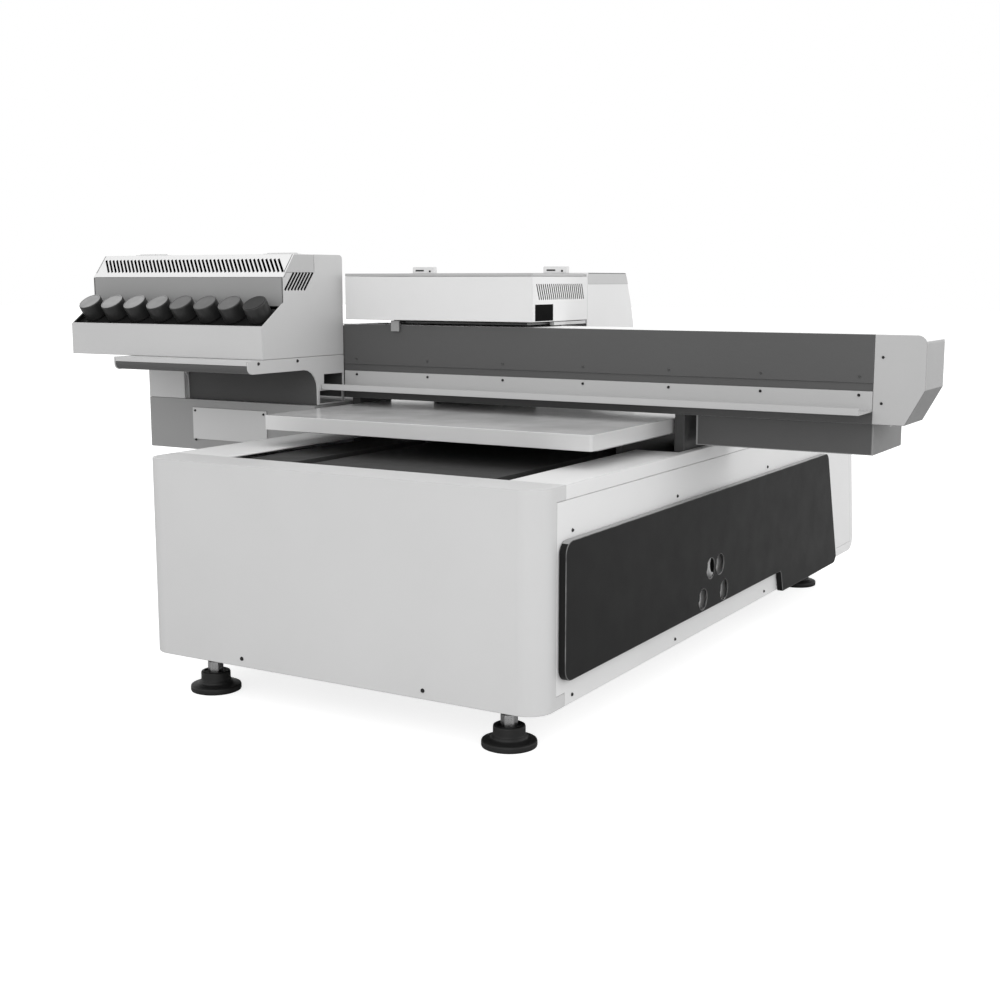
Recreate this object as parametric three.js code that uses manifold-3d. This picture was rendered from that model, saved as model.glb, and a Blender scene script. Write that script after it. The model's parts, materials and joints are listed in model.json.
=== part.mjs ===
// Flatbed UV printer: a long low base on four levelling feet, a flat bed that slides front to back,
// a fixed gantry across it, a print carriage that runs along the gantry, and an ink station that hangs
// on the gantry's left end. Millimetres, +Z up, +X to the right along the gantry, +Y to the rear.

import * as THREE from 'three';
import { mergeVertices } from 'three/addons/utils/BufferGeometryUtils.js';
import Module from 'manifold-3d';

const wasm = await Module();
wasm.setup();

// ---------------------------------------------------------------------------------------------------
// Driving dimensions. X = 0 is the base's right side, Y = 0 its front, Z = 0 the panels' lower edge.
// ---------------------------------------------------------------------------------------------------

const GAP = 0.4;               // clearance between pieces that touch
const SHEET = 3;               // sheet metal of panels and housings

const BASE = { left: -768, rear: 1543, top: 336, corner: 40, wrap: 51, flange: 78, rollDown: 23, tab: 21 };
const REAR = { deck: 1488, from: 1385, strip: 22, sill: 20, corner: 28 };
const OPENING = { left: -646, right: -96.6, rear: 1446, level: 325, notchFront: 523, notchRear: 700 };
const COVER = {
  front: 56, top: 255, bottom: 43, step: 1000, lean: 13, low: -2, rearLow: 1376, rearTop: 1288, proud: 12.5,
};
const COVER_HOLES = [[582, 66], [683, 65], [616, 117], [660, 117]];
const COVER_HOLE_R = 19;
const FOOT = { left: -667, right: -81, front: 53, rear: 1380, pad: 43, drum: 25, stud: 8, height: 67 };
const FRAME = { side: 10, front: 33, rear: 1470, tube: 40, bottom: 3, top: 300, beamTop: 180 };
const RAIL_X = [-590, -130];
const RAIL = { width: 20, height: 20, front: 90, rear: 1440 };
const SCREW = { x: -360, z: 170, radius: 10, front: 96, rear: 1414, block: 50, motor: 57 };
const BED = { left: -700.6, right: -39.4, front: 237, rear: 1187, top: 391, thick: 26 };
const SLOTS = [[-550, -510], [-153, -97]];   // left and right edges of the slots for the bed's webs
const SADDLE = { left: -620, right: -100, front: 512, rear: 912, bottom: 205 };
const BEAM = { left: -1180, right: 314.5, front: 540, rear: 657, bottom: 400, top: 545.5, wall: 6 };
const BEAM_COVER = { left: -745, bottom: 467, sheet: 2.5 };
const CHANNEL = { lipFront: 465, floor: 420, lipTop: 431.5, top: 453.5 };
const END_CAP = { right: 398, slantX: 367, slantZ: 458, roundFrom: 531 };
const HOUSING_R = { right: 313, front: 562, rear: 735, bottom: 346.5, top: 399.4, lowTop: 386 };
const HOUSING_L = { left: -1184, right: -748.6, front: 445, rear: 657, bottom: 286, top: 389.5 };
const STATION = { left: -1241, right: -747.5, front: 293, rear: 541, bottom: 485.5, top: 680 };
const TRAY = { rim: 545.8, elbowY: 355, elbowZ: 588.7, recess: 357 };
const LID = { lipZ: 637, slopeY: 390.7, hingeY: 451, flapZ: 646 };
const ARM = { left: -1085, front: 252, bottom: 460.3, legFront: 455, legBottom: 390 };
const CAP = { count: 8, pitch: 61, radius: 23.5, length: 34, tilt: 34.7, y: 312, z: 590 };
const CARRIAGE = {
  left: -733, right: -311, front: 530, split: 750, bottom: 555, top: 638, lid: 6, lidRear: 735,
};
const REAR_COVER = { bottom: 415, rear: 970, top: 645 };
const HEAD = { left: -640, right: -510, front: 692, rear: 738, bottom: 393.5 };
const X_RAIL = { left: -722, right: 308, bottom: 490, height: 20, depth: 12 };

// ---------------------------------------------------------------------------------------------------
// Finishes
// ---------------------------------------------------------------------------------------------------

function finish(color, roughness, metalness) {
  return new THREE.MeshStandardMaterial({ color, roughness, metalness });
}

const WHITE = finish(0xe6e6e6, 0.45, 0.1);
const LIGHT_GREY = finish(0xbdbdbd, 0.5, 0.1);
const MID_GREY = finish(0x9a9a9a, 0.5, 0.1);
const DARK_GREY = finish(0x555555, 0.5, 0.2);
const BLACK = finish(0x262626, 0.5, 0.1);
const RUBBER = finish(0x161616, 0.8, 0.0);
const STEEL = finish(0xb4b6b8, 0.3, 0.9);
const ALUMINIUM = finish(0xd9dadb, 0.35, 0.8);

// ---------------------------------------------------------------------------------------------------
// Shapes
// ---------------------------------------------------------------------------------------------------

const radians = THREE.MathUtils.degToRad;

// A box between two opposite corners.
function box(x0, x1, y0, y1, z0, z1) {
  const geometry = new THREE.BoxGeometry(x1 - x0, y1 - y0, z1 - z0);
  return geometry.translate((x0 + x1) / 2, (y0 + y1) / 2, (z0 + z1) / 2);
}

function shapeOf(points) {
  return new THREE.Shape(points.map(([u, v]) => new THREE.Vector2(u, v)));
}

// A prism along X of an outline in (Y, Z).
function prismX(points, x0, x1) {
  const geometry = new THREE.ExtrudeGeometry(shapeOf(points), { depth: x1 - x0, bevelEnabled: false });
  const turn = new THREE.Matrix4().makeBasis(
    new THREE.Vector3(0, 1, 0), new THREE.Vector3(0, 0, 1), new THREE.Vector3(1, 0, 0));
  return geometry.applyMatrix4(turn).translate(x0, 0, 0);
}

// A prism along Y of an outline in (X, Z).
function prismY(points, y0, y1) {
  const geometry = new THREE.ExtrudeGeometry(shapeOf(points), { depth: y1 - y0, bevelEnabled: false });
  const turn = new THREE.Matrix4().makeBasis(
    new THREE.Vector3(1, 0, 0), new THREE.Vector3(0, 0, 1), new THREE.Vector3(0, -1, 0));
  return geometry.applyMatrix4(turn).translate(0, y1, 0);
}

// A prism along Z of an outline in (X, Y).
function prismZ(points, z0, z1) {
  const geometry = new THREE.ExtrudeGeometry(shapeOf(points), { depth: z1 - z0, bevelEnabled: false });
  return geometry.translate(0, 0, z0);
}

// Points of an arc about (cu, cv), from one angle to another in degrees.
function arc(cu, cv, radius, from, to, steps = 5) {
  const points = [];
  for (let i = 0; i <= steps; i += 1) {
    const angle = radians(from + ((to - from) * i) / steps);
    points.push([cu + radius * Math.cos(angle), cv + radius * Math.sin(angle)]);
  }
  return points;
}

// A round bar along X, Y or Z from a to b, centred on the other two coordinates.
function rod(axis, radius, a, b, u, v, sides = 24) {
  const geometry = new THREE.CylinderGeometry(radius, radius, b - a, sides);
  const middle = (a + b) / 2;
  if (axis === 'x') {
    return geometry.rotateZ(Math.PI / 2).translate(middle, u, v);
  }
  if (axis === 'y') {
    return geometry.translate(u, middle, v);
  }
  return geometry.rotateX(Math.PI / 2).translate(u, v, middle);
}

// Booleans: geometry to solid, join, cut, and back to geometry.
function solid(geometry) {
  const bare = geometry.clone();
  bare.deleteAttribute('normal');
  bare.deleteAttribute('uv');
  const merged = mergeVertices(bare, 1e-4);
  return new wasm.Manifold(new wasm.Mesh({
    numProp: 3,
    vertProperties: new Float32Array(merged.attributes.position.array),
    triVerts: new Uint32Array(merged.index.array),
  }));
}

const join = (...geometries) => geometries.map(solid).reduce((a, b) => a.add(b));

function geometryOf(manifold) {
  const mesh = manifold.getMesh();
  const geometry = new THREE.BufferGeometry();
  geometry.setAttribute('position', new THREE.BufferAttribute(mesh.vertProperties, 3));
  geometry.setIndex(new THREE.BufferAttribute(mesh.triVerts, 1));
  return geometry;
}

function cut(body, ...tools) {
  const start = body.isBufferGeometry ? solid(body) : body;
  return geometryOf(tools.reduce((rest, tool) => rest.subtract(solid(tool)), start));
}

// ---------------------------------------------------------------------------------------------------
// The machine: one named mesh for each piece
// ---------------------------------------------------------------------------------------------------

const machine = new THREE.Group();

function add(name, geometry, material, parent = machine) {
  const mesh = new THREE.Mesh(geometry, material);
  mesh.name = name;
  parent.add(mesh);
  return mesh;
}

// --- Base -------------------------------------------------------------------------------------------

// The welded frame of square tube, with bored blocks for the screw's ends and holes for the feet.
function baseFrame() {
  const { side, front, rear, tube, bottom, top, beamTop } = FRAME;
  const left = BASE.left + side;
  const right = -side;
  const crossZ = beamTop - 2 * tube;
  const bars = [];
  for (const x of [left, right - tube]) {
    bars.push(box(x, x + tube, front, rear, bottom, bottom + tube));
    bars.push(box(x, x + tube, front, rear, top - tube, top));
    for (const y of [front, 420, 780, 1140, rear - tube]) {
      bars.push(box(x, x + tube, y, y + tube, bottom, top));
    }
  }
  for (const y of [front, 420, 780, 1140, rear - tube]) {
    bars.push(box(left, right, y, y + tube, crossZ, crossZ + tube));
  }
  for (const y of [front, rear - tube]) {
    bars.push(box(left, right, y, y + tube, top - tube, top));
    bars.push(box(left, right, y, y + tube, bottom, bottom + tube));
  }
  bars.push(box(left, right, FOOT.rear - tube / 2, rear, bottom, bottom + tube));
  for (const x of RAIL_X) {
    bars.push(box(x - tube / 2, x + tube / 2, front, rear, beamTop - tube, beamTop));
  }
  for (const y of [SCREW.front - 1, SCREW.rear - 19]) {
    bars.push(box(left, right, y - 10, y + 30, crossZ, crossZ + tube));
    const half = SCREW.block / 2;
    bars.push(box(SCREW.x - half, SCREW.x + half, y, y + 20, crossZ + 30, SCREW.z + 28));
  }
  const holes = [rod('y', SCREW.radius + GAP, SCREW.front - 5, SCREW.rear + 5, SCREW.x, SCREW.z)];
  for (const x of [FOOT.left, FOOT.right]) {
    for (const y of [FOOT.front, FOOT.rear]) {
      holes.push(rod('z', FOOT.stud + GAP, bottom - 1, bottom + tube + 1, x, y));
    }
  }
  return cut(join(...bars), ...holes);
}

// The plan of the front panel: square at the back, rounded at the two front corners.
function frontPlan(inset, back) {
  const r = BASE.corner - inset;
  const x0 = BASE.left + BASE.corner;
  const x1 = -BASE.corner;
  return [
    ...arc(x0, BASE.corner, r, 180, 270, 8),
    ...arc(x1, BASE.corner, r, 270, 360, 8),
    [-inset, back], [BASE.left + inset, back],
  ];
}

// The front panel wraps both corners; its top and bottom run further back along the sides.
function frontPanel() {
  const { left, top, wrap, flange, rollDown, tab } = BASE;
  return cut(
    prismZ(frontPlan(0, flange), 0, top),
    prismZ(frontPlan(SHEET, flange + 1), -1, top - SHEET),
    box(left - 1, 1, wrap, flange + 1, tab, top - rollDown),
  );
}

// The rear leans out towards its foot, by this angle; rearAt is how far back it stands at a height.
const REAR_LEAN = Math.atan((BASE.rear - REAR.deck) / BASE.top);

function rearAt(z) {
  return BASE.rear - ((BASE.rear - REAR.deck) * z) / BASE.top;
}

// The rear panel leans, turns in under its round lower edge, and wraps each side with an L of sheet.
function rearPanel() {
  const { from, strip, sill, corner } = REAR;
  const { left, rear } = BASE;
  const top = BASE.top - BASE.rollDown - GAP;
  const y = rear - (corner * (1 + Math.sin(REAR_LEAN))) / Math.cos(REAR_LEAN);
  const end = 360 + THREE.MathUtils.radToDeg(REAR_LEAN);
  const outer = [[from, 0], ...arc(y, corner, corner, 270, end), [rearAt(top), top], [from, top]];
  const inner = [
    [from - 1, -1], [y, -1], ...arc(y, corner, corner - SHEET, 270, end),
    [rearAt(top + 1) - SHEET, top + 1], [from - 1, top + 1],
  ];
  const side = [
    [from - 1, sill], [rearAt(sill) - strip, sill], [rearAt(top + 1) - strip, top + 1], [from - 1, top + 1],
  ];
  return cut(
    prismX(outer, left, 0),
    prismX(inner, left + SHEET, -SHEET),
    prismX(side, left - 1, 1),
  );
}

// A side panel, with a notch for the front panel's lower tab and the four holes of its cover.
function sidePanel(outer) {
  const inner = outer < -1 ? outer + SHEET : outer - SHEET;
  const [x0, x1] = [Math.min(inner, outer), Math.max(inner, outer)];
  const { from, strip } = REAR;
  const front = BASE.wrap + GAP;
  const sill = REAR.sill + GAP;
  const top = BASE.top - BASE.rollDown - GAP;
  const plate = prismX([
    [front, 0], [from - GAP, 0], [from - GAP, sill], [rearAt(sill) - strip - GAP, sill],
    [rearAt(top) - strip - GAP, top], [front, top],
  ], x0, x1);
  const notch = box(x0 - 1, x1 + 1, BASE.wrap, BASE.flange + GAP, -1, BASE.tab + GAP);
  const holes = COVER_HOLES.map(([y, z]) => rod('x', COVER_HOLE_R - 2, x0 - 1, x1 + 1, y, z));
  return cut(plate, notch, ...holes);
}

// The side cover's outline, stepped down behind and slanted at the rear, drawn inset by a sheet or so.
function coverOutline(inset) {
  const { front, top, bottom, step, lean, low, rearLow, rearTop } = COVER;
  const r = 20 - inset;
  return [
    ...arc(front + 20, bottom + 20, r, 270, 180).reverse(),
    [step - 6 + inset, bottom + inset], [step + inset, bottom - 6 + inset],
    [step + lean + inset, low + inset],
    ...arc(rearLow - 26, low + 20, r, 270, 345),
    ...arc(rearTop - 16, top - 20, r, 15, 90),
    ...arc(front + 20, top - 20, r, 90, 180),
  ];
}

// A pan-shaped black cover on each side of the base.
function sideCover(mirror) {
  const inner = GAP;
  const outer = COVER.proud + GAP;
  const place = (x) => (mirror ? BASE.left - x : x);
  const span = (a, b) => [Math.min(place(a), place(b)), Math.max(place(a), place(b))];
  const holes = COVER_HOLES.map(([y, z]) => rod('x', COVER_HOLE_R, ...span(0, outer + 1), y, z));
  return cut(
    prismX(coverOutline(0), ...span(inner, outer)),
    prismX(coverOutline(2.5), ...span(inner - 1, outer - 2.5)),
    ...holes,
  );
}

// The deck, with rolled-down edges, the long opening, and a notch each side for the gantry's uprights.
function deckPlate() {
  const { left, top, flange, rollDown } = BASE;
  const { notchFront, notchRear } = OPENING;
  const rear = REAR.deck;
  return cut(
    box(left, 0, flange + GAP, rear, top - rollDown, top),
    box(left + SHEET, -SHEET, flange - 1, rear - SHEET, top - rollDown - 1, top - SHEET),
    box(OPENING.left, OPENING.right, flange - 1, OPENING.rear, top - SHEET - 1, top + 1),
    box(left + 15, OPENING.left + 1, notchFront, notchRear, top - SHEET - 1, top + 1),
    box(OPENING.right - 1, -15, notchFront, notchRear, top - SHEET - 1, top + 1),
  );
}

// A folded dust cover inside the deck's opening.
function dustCover(x0, x1) {
  const z = OPENING.level;
  return cut(
    box(x0, x1, BASE.flange + 1, OPENING.rear - 1, z - 12, z + SHEET),
    box(x0 + SHEET, x1 - SHEET, BASE.flange, OPENING.rear, z - 13, z),
  );
}

// A levelling foot: rubber pad and drum, hex nut and stud, turned as one piece.
function foot(x, y) {
  const { pad, drum, stud, height } = FOOT;
  const profile = [
    [0, 0], [pad, 0], [pad, 9], [pad - 5, 13], [drum + 3, 16], [drum, 19], [drum, 31],
    [drum - 3, 34], [0, 34],
  ];
  const turned = new THREE.LatheGeometry(profile.map(([r, z]) => new THREE.Vector2(r, z)), 28);
  turned.rotateX(Math.PI / 2);
  const nut = rod('z', 13.8, 33, 51, 0, 0, 6);
  const shank = rod('z', stud, 50, height + 34, 0, 0, 16);
  return geometryOf(join(turned, nut, shank)).translate(x, y, -height);
}

// The mains inlet: a plate, a socket and a switch body in one moulding, leaning with the rear panel.
function powerInlet() {
  const z = 95;
  const body = cut(
    join(box(-28, 28, GAP, GAP + SHEET, -35, 35), box(-22, 22, GAP, GAP + 7, -30, 30)),
    box(-14, 14, GAP + 2, GAP + 9, -23, -1),
  );
  return body.rotateX(REAR_LEAN).translate(-110, rearAt(z), z);
}

add('base_frame', baseFrame(), DARK_GREY);
add('front_panel', frontPanel(), LIGHT_GREY);
add('rear_panel', rearPanel(), WHITE);
add('side_panel_right', sidePanel(0), WHITE);
add('side_panel_left', sidePanel(BASE.left), WHITE);
add('side_cover_right', sideCover(false), BLACK);
add('side_cover_left', sideCover(true), BLACK);
add('deck_plate', deckPlate(), WHITE);
add('dust_cover_left', dustCover(OPENING.left + 1, SLOTS[0][0]), DARK_GREY);
add('dust_cover_centre', dustCover(SLOTS[0][1], SLOTS[1][0]), DARK_GREY);
add('power_inlet', powerInlet(), BLACK);

for (const [row, y] of [['front', FOOT.front], ['rear', FOOT.rear]]) {
  for (const [hand, x] of [['left', FOOT.left], ['right', FOOT.right]]) {
    add(`foot_${row}_${hand}`, foot(x, y), RUBBER);
  }
}

// --- Bed drive and bed ------------------------------------------------------------------------------

// A linear rail's section has a waist, and the slider's jaws reach into it.
function yRail(x) {
  const z = FRAME.beamTop + GAP;
  const w = RAIL.width / 2;
  const outline = [
    [x - w, z], [x + w, z], [x + w, z + 8], [x + w - 3, z + 11], [x + w, z + 14], [x + w, z + RAIL.height],
    [x - w, z + RAIL.height], [x - w, z + 14], [x - w + 3, z + 11], [x - w, z + 8],
  ];
  return prismY(outline, RAIL.front, RAIL.rear);
}

function ySlider(x) {
  const z = FRAME.beamTop + GAP;
  const w = RAIL.width / 2 + GAP;
  const top = SADDLE.bottom - GAP;
  const outline = [
    [x - 25, z + 5], [x - w, z + 5], [x - w, z + RAIL.height + GAP], [x + w, z + RAIL.height + GAP],
    [x + w, z + 5], [x + 25, z + 5], [x + 25, top], [x - 25, top],
  ];
  return prismY(outline, SADDLE.front + 20, SADDLE.rear - 20);
}

// The saddle rides on both sliders, holds the screw's nut, and carries the bed on two webs
// that come up through the slots beside the centre cover.
function saddle() {
  const { left, right, front, rear, bottom } = SADDLE;
  const webTop = BED.top - BED.thick - 8 - GAP;
  const middle = (front + rear) / 2;
  const parts = [
    box(left, right, front, rear, bottom, bottom + 10),
    box(SCREW.x - 30, SCREW.x + 30, middle - 35, middle + 35, SCREW.z - 18, bottom + 1),
  ];
  for (const [slotLeft, slotRight] of SLOTS) {
    const x = (slotLeft + slotRight) / 2;
    parts.push(box(x - 5, x + 5, front, rear, bottom + 5, webTop));
    parts.push(box(x - 9, x + 9, front, rear, webTop - 16, webTop));
  }
  return cut(join(...parts), rod('y', SCREW.radius + GAP, middle - 40, middle + 40, SCREW.x, SCREW.z));
}

// The bed's vacuum table: a thick plate with small rounded upright corners.
function bedTable() {
  const { left, right, front, rear, top, thick } = BED;
  const r = 6;
  const plan = [
    ...arc(left + r, front + r, r, 180, 270, 3), ...arc(right - r, front + r, r, 270, 360, 3),
    ...arc(right - r, rear - r, r, 0, 90, 3), ...arc(left + r, rear - r, r, 90, 180, 3),
  ];
  return prismZ(plan, top - thick, top);
}

add('y_rail_left', yRail(RAIL_X[0]), STEEL);
add('y_rail_right', yRail(RAIL_X[1]), STEEL);
add('y_slider_left', ySlider(RAIL_X[0]), STEEL);
add('y_slider_right', ySlider(RAIL_X[1]), STEEL);
add('ball_screw', rod('y', SCREW.radius, SCREW.front, SCREW.rear, SCREW.x, SCREW.z), STEEL);
add('y_motor', box(
  SCREW.x - SCREW.motor / 2, SCREW.x + SCREW.motor / 2, SCREW.rear + 4, SCREW.rear + 76,
  SCREW.z - SCREW.motor / 2, SCREW.z + SCREW.motor / 2), BLACK);
add('bed_saddle', saddle(), MID_GREY);
add('bed_underplate', box(
  BED.left + 25, BED.right - 25, BED.front + 70, BED.rear - 20,
  BED.top - BED.thick - 8, BED.top - BED.thick - GAP), LIGHT_GREY);
add('bed_table', bedTable(), ALUMINIUM);

// --- Gantry -----------------------------------------------------------------------------------------

function upright(x0, x1) {
  return box(x0, x1, 548, BEAM.rear, FRAME.top + GAP, BEAM.bottom - GAP);
}

// The beam is a hollow extrusion with an inner web.
function beam() {
  const { left, right, rear, bottom, top, wall } = BEAM;
  const front = BEAM.front + BEAM_COVER.sheet + GAP;
  const roof = top - BEAM_COVER.sheet - GAP;
  const web = (bottom + roof) / 2;
  return cut(
    box(left, right, front, rear, bottom, roof),
    box(left - 1, right + 1, front + wall, rear - wall, bottom + wall, web - wall / 2),
    box(left - 1, right + 1, front + wall, rear - wall, web + wall / 2, roof - wall),
  );
}

// The dark cover wraps the beam's upper front and its top.
function beamCover() {
  const { front, rear, top } = BEAM;
  const t = BEAM_COVER.sheet;
  const outline = [
    [front, BEAM_COVER.bottom], [front + t, BEAM_COVER.bottom], [front + t, top - t], [rear, top - t],
    [rear, top], [front, top],
  ];
  return prismX(outline, BEAM_COVER.left, BEAM.right);
}

// The channel below the cover carries cables: a back plate, a floor and a small front lip.
function channel() {
  const { lipFront, floor, lipTop, top } = CHANNEL;
  const back = BEAM.front + BEAM_COVER.sheet;
  const t = BEAM_COVER.sheet;
  const outline = [
    [lipFront, floor], [back, floor], [back, top], [back - t, top], [back - t, floor + t],
    [lipFront + t, floor + t], [lipFront + t, lipTop], [lipFront, lipTop],
  ];
  return prismX(outline, BEAM_COVER.left, BEAM.right);
}

// The end cap is a shell: a rounded upper corner and a slanted lower one.
function endCap() {
  const { right, slantX, slantZ, roundFrom } = END_CAP;
  const { bottom, top, front, rear } = BEAM;
  const left = BEAM.right + GAP;
  const r = top - roundFrom;
  const outline = (inset) => [
    [left - inset / 3, bottom + inset], [slantX - inset / 2, bottom + inset],
    [right - inset, slantZ + inset / 4],
    ...arc(right - r, roundFrom, r - inset, 0, 90), [left - inset / 3, top - inset],
  ];
  return cut(prismY(outline(0), front, rear), prismY(outline(SHEET), front + SHEET, rear - SHEET));
}

// The right housing hangs under the beam's end; its lower rear part holds the capping tray.
function housingRight() {
  const { right, front, rear, bottom, top, lowTop } = HOUSING_R;
  const step = BEAM.rear + 2;
  const outline = (s) => [
    [front + s, bottom - (s ? 1 : 0)], [rear - s, bottom - (s ? 1 : 0)], [rear - s, lowTop - s],
    [step - s, lowTop - s], [step - s, top - s], [front + s, top - s],
  ];
  return cut(
    prismX(outline(0), 0.4, right),
    prismX(outline(SHEET), 0.4 + SHEET, right - SHEET),
    box(5, 160, step + 25, rear - 6, lowTop - SHEET - 1, lowTop + 1),
  );
}

// A housing box with its underside open.
function openBox(x0, x1, y0, y1, z0, z1) {
  return cut(
    box(x0, x1, y0, y1, z0, z1),
    box(x0 + SHEET, x1 - SHEET, y0 + SHEET, y1 - SHEET, z0 - 1, z1 - SHEET),
  );
}

// The left housing hangs beside the base, and its right end steps up over the deck's edge.
function housingLeft() {
  const { left, right, front, rear, bottom, top } = HOUSING_L;
  return cut(
    openBox(left, right, front, rear, bottom, top),
    box(BASE.left - GAP, right + 1, front - 1, rear + 1, bottom - 1, BASE.top + GAP),
  );
}

add('upright_right', upright(-34, -15.6), DARK_GREY);
add('upright_left', upright(-732.4, -714), DARK_GREY);
add('beam', beam(), ALUMINIUM);
add('beam_end_plate', box(
  BEAM.left - GAP - SHEET, BEAM.left - GAP, BEAM.front + SHEET, BEAM.rear, BEAM.bottom, BEAM.top), LIGHT_GREY);
add('beam_cover', beamCover(), DARK_GREY);
add('beam_channel', channel(), LIGHT_GREY);
add('beam_end_cap', endCap(), LIGHT_GREY);
add('housing_right', housingRight(), MID_GREY);
add('housing_left', housingLeft(), MID_GREY);
add('beam_end_housing', openBox(
  HOUSING_L.left, ARM.left - GAP, HOUSING_L.front, STATION.rear,
  HOUSING_L.top + GAP, ARM.bottom - GAP), LIGHT_GREY);
add('access_plate', box(-1063, -868, HOUSING_L.front - 2.4, HOUSING_L.front - GAP, 308, 373), WHITE);
add('capping_pad', geometryOf(join(
  box(12, 138, 690, 724, 350, 374),
  box(18, 60, 694, 720, 370, 380),
  box(90, 132, 694, 720, 370, 380))), RUBBER);

// --- Ink station ------------------------------------------------------------------------------------

// The shell's side view: tray front, slanted mouth, recess, cut-out for the lid, and flat rear top.
function stationShell() {
  const { left, right, front, rear, bottom, top } = STATION;
  const { rim, elbowY, elbowZ, recess } = TRAY;
  const lidRear = LID.hingeY + 1;
  const lidFloor = LID.flapZ - GAP;
  const side = [
    [front, bottom], [rear, bottom], ...arc(rear - 8, top - 8, 8, 0, 90, 4),
    [lidRear, top], [lidRear, lidFloor],
    [recess + 11, lidFloor], [recess + 5, LID.lipZ - GAP], [recess, LID.lipZ - GAP], [recess, elbowZ],
    [elbowY, elbowZ], [front, rim],
  ];
  const inside = [
    [front + SHEET, bottom + SHEET], [rear - SHEET, bottom + SHEET], [rear - SHEET, top - SHEET],
    [lidRear + SHEET, top - SHEET], [lidRear + SHEET, top + 20],
    [recess - 30, top + 20], [front + SHEET, rim + 20],
  ];
  return cut(prismX(side, left, right), prismX(inside, left + SHEET, right - SHEET));
}

// The lid: a sloping front, a flat top back to its hinge, and a flap at each end.
function stationLid() {
  const { left, right, top } = STATION;
  const { lipZ, slopeY, hingeY, flapZ } = LID;
  const foldY = TRAY.recess + 7;
  const sheet = [
    [TRAY.recess, lipZ], [TRAY.recess + 3.8, lipZ], [slopeY + 1.4, top - SHEET], [hingeY, top - SHEET],
    [hingeY, top], [slopeY, top],
  ];
  const flap = [[foldY, flapZ], [hingeY, flapZ], [hingeY, top], [slopeY, top]];
  return geometryOf(join(
    prismX(sheet, left, right), prismX(flap, left, left + SHEET), prismX(flap, right - SHEET, right)));
}

// An arm with its leg: it carries the station on the gantry; two windows let the cables through.
function stationArm(x) {
  const { front, bottom, legFront, legBottom } = ARM;
  const { rear } = STATION;
  const top = STATION.bottom - GAP;
  const outline = [
    ...arc(front + 18, bottom + 12, 12, 180, 270).map(([y, z]) => [y - 6, z]),
    ...arc(legFront - 46, bottom - 40, 40, 90, 0).map(([y, z]) => [y + 6, z]),
    [legFront, legBottom], [rear, legBottom], [rear, top], [front, top],
  ];
  return cut(
    prismX(outline, x, x + SHEET),
    box(x - 1, x + SHEET + 1, 476, 537, 424, 449),
    box(x - 1, x + SHEET + 1, 462, 534, 393, 417),
  );
}

// The shelf under the station, with a small turned-down front edge.
function stationShelf(x0, x1) {
  const { front } = ARM;
  const top = STATION.bottom - GAP;
  const outline = [
    [front, top - 9], [front + SHEET, top - 9], [front + SHEET, top - SHEET], [STATION.rear, top - SHEET],
    [STATION.rear, top], [front, top],
  ];
  return prismX(outline, x0, x1);
}

// The dark drip tray below the shelf, rounded at its lower front edge.
function dripTray(x0, x1) {
  const y = ARM.front + 1;
  const z = ARM.bottom + 0.5;
  const top = STATION.bottom - 10;
  const outline = [
    [y, top], ...arc(y + 12, z + 12, 12, 180, 270), [536, z], [536, z + SHEET],
    ...arc(y + 12, z + 12, 9, 270, 180), [y + SHEET, top],
  ];
  return prismX(outline, x0, x1);
}

// The recess panel stands behind the caps, under the lid's lip.
function recessPanel() {
  const { recess, elbowZ } = TRAY;
  const inset = SHEET + GAP;
  return box(STATION.left + inset, STATION.right - inset, recess, recess + SHEET, elbowZ - 6, LID.lipZ - GAP);
}

// The rack that the bottles stand in; its top leans forward like the mouth of the tray.
function bottleRack() {
  const inset = SHEET + GAP;
  const slope = Math.tan(radians(CAP.tilt));
  const drop = CAP.length + GAP;
  const y = CAP.y + drop * Math.sin(radians(CAP.tilt));
  const z = CAP.z - drop * Math.cos(radians(CAP.tilt));
  const front = STATION.front + inset;
  const rear = TRAY.elbowY - 1;
  const base = STATION.bottom + inset;
  const topAt = (place) => z + (place - y) * slope;
  const outline = [[front, base], [rear, base], [rear, topAt(rear)], [front, topAt(front)]];
  return prismX(outline, STATION.left + inset, STATION.right - inset);
}

// A screw cap: a turned disc with a small chamfer at the rim.
function inkCap(x) {
  const { radius, length, tilt, y, z } = CAP;
  const profile = [
    [0, -length], [radius - 2, -length], [radius, -length + 3], [radius, -1.5], [radius - 1.5, 0], [0, 0],
  ];
  const turned = new THREE.LatheGeometry(profile.map(([r, h]) => new THREE.Vector2(r, h)), 24);
  return turned.rotateX(Math.PI / 2).rotateX(radians(tilt)).translate(x, y, z);
}

const armInner = { left: ARM.left + SHEET + GAP, right: STATION.right - SHEET - GAP };
add('station_shell', stationShell(), LIGHT_GREY);
add('station_lid', stationLid(), WHITE);
add('station_arm_left', stationArm(ARM.left), LIGHT_GREY);
add('station_arm_right', stationArm(STATION.right - SHEET), LIGHT_GREY);
add('station_shelf', stationShelf(armInner.left, armInner.right), LIGHT_GREY);
add('drip_tray', dripTray(armInner.left, armInner.right), DARK_GREY);
add('belly_panel', box(
  armInner.left, armInner.right, ARM.legFront, ARM.legFront + SHEET, ARM.legBottom, ARM.bottom), DARK_GREY);
add('recess_panel', recessPanel(), MID_GREY);
add('bottle_rack', bottleRack(), BLACK);

for (let i = 0; i < CAP.count; i += 1) {
  const centre = (STATION.left + STATION.right) / 2;
  const x = centre + (i - (CAP.count - 1) / 2) * CAP.pitch;
  add(`ink_cap_${i + 1}`, inkCap(x), BLACK);
}

// --- Carriage ---------------------------------------------------------------------------------------

// The rail on the beam's rear face.
add('x_rail', box(X_RAIL.left, X_RAIL.right, BEAM.rear + GAP, BEAM.rear + X_RAIL.depth, X_RAIL.bottom,
  X_RAIL.bottom + X_RAIL.height), STEEL);

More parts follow.
